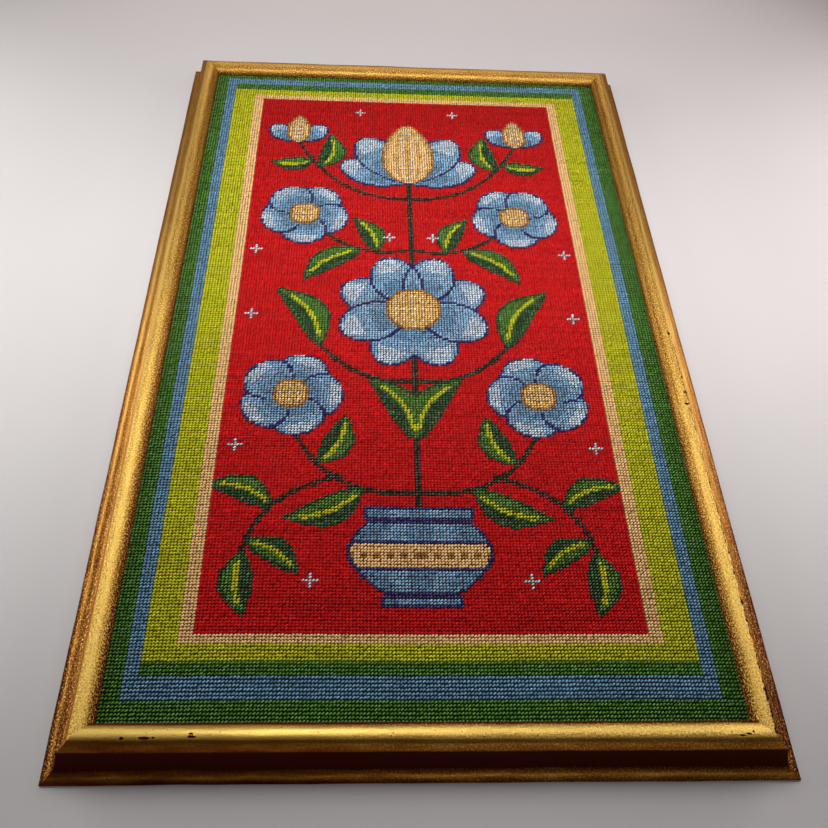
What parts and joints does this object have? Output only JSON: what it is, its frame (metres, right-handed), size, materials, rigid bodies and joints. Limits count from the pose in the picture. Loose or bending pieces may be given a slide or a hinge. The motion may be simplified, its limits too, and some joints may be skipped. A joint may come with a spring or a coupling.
{
  "type": "needlepoint canvas panel in a gilt wood frame",
  "caption": "Flat rectangular needlepoint canvas panel, wool tent stitch with a striped border, fitted in a mitred gilt wood picture frame moulding.",
  "frame": {"origin": "middle of the frame's flat back, at the bottom centre of the box, with the panel lying face up", "axes": "+X to the right of the picture, +Y to its top, +Z out of its face"},
  "size_m": [0.4214, 0.6812, 0.024],
  "materials": {
    "wool_needlepoint": "wool tent stitch on canvas, matt",
    "gilt_moulding": "rubbed metal leaf over red-brown bole, with dark specks and worn edges"
  },
  "bodies": {
    "root": {"needlepoint_panel": "wool_needlepoint", "frame_rail_top": "gilt_moulding", "frame_rail_left": "gilt_moulding", "frame_rail_bottom": "gilt_moulding", "frame_rail_right": "gilt_moulding"}
  },
  "joints": []
}
